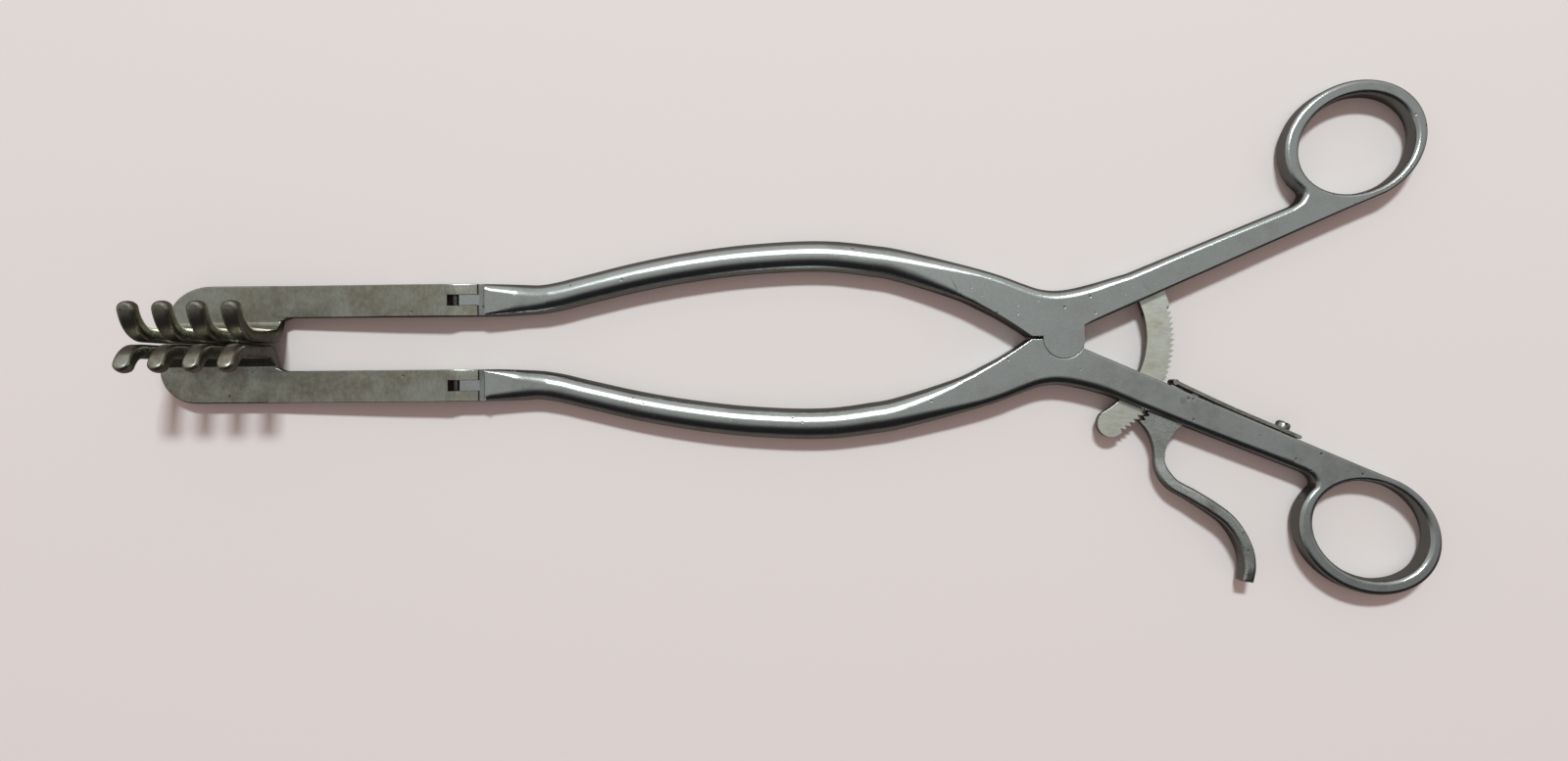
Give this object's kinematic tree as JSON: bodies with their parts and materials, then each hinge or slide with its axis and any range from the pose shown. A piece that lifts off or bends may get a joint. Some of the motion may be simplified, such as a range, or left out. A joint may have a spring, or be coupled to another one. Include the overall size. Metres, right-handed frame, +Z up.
{
  "type": "self-retaining retractor",
  "caption": "Ring-handled self-retaining retractor with bowed arms, arc ratchet, trigger release and hinged rake blades.",
  "frame": {"origin": "on the axis of the main joint, in the plane of the joint's lower face", "axes": "+X from the joint towards the finger rings, blades towards -X; +Z up, the way the prongs point; +Y towards the arm without the release lever"},
  "size_m": [0.3137, 0.126, 0.0288],
  "materials": {
    "satin_steel": "satin stainless steel, faintly greenish grey",
    "blade_steel": "satin stainless steel with brown tarnish",
    "rack_steel": "fine-ground steel, slightly yellow",
    "pin_steel": "ground flush",
    "spring_steel": "polished spring steel"
  },
  "bodies": {
    "lower_arm": {"lower_arm": "satin_steel", "joint_pin": "pin_steel", "lever_pin": "pin_steel", "spring_screw": "pin_steel", "lower_hinge_pin": "pin_steel"},
    "upper_arm": {"upper_arm": "satin_steel", "ratchet_rack": "rack_steel", "rack_rivet_1": "pin_steel", "rack_rivet_2": "pin_steel", "upper_hinge_pin": "pin_steel"},
    "release_lever": {"release_lever": "satin_steel"},
    "leaf_spring": {"leaf_spring": "spring_steel"},
    "upper_blade": {"upper_blade": "blade_steel"},
    "lower_blade": {"lower_blade": "blade_steel"}
  },
  "joints": [
    {"name": "main_pivot", "type": "hinge", "parent": "lower_arm", "child": "upper_arm", "pos_m": [0, 0, 0.004], "axis": [0, 0, -1], "range_deg": [0, 40]},
    {"name": "release_trigger", "type": "hinge", "parent": "lower_arm", "child": "release_lever", "pos_m": [0.0287, -0.0157, 0.004], "axis": [0, 0, 1], "range_deg": [0, 8], "stiffness_Nm_per_rad": 0.5, "springref_deg": -8.59},
    {"name": "spring_flex", "type": "hinge", "parent": "lower_arm", "child": "leaf_spring", "pos_m": [0.05375, -0.02359, 0.004], "axis": [0, 0, 1], "range_deg": [-1, 0]},
    {"name": "upper_blade_hinge", "type": "hinge", "parent": "upper_arm", "child": "upper_blade", "pos_m": [-0.1455, 0.01045, 0.0038], "axis": [0, 1, 0], "range_deg": [0, 90]},
    {"name": "lower_blade_hinge", "type": "hinge", "parent": "lower_arm", "child": "lower_blade", "pos_m": [-0.1455, -0.01045, 0.0038], "axis": [0, 1, 0], "range_deg": [0, 90]}
  ],
  "couplings": [
    {"joint": "spring_flex", "follows": "release_trigger", "ratio": -0.125}
  ]
}
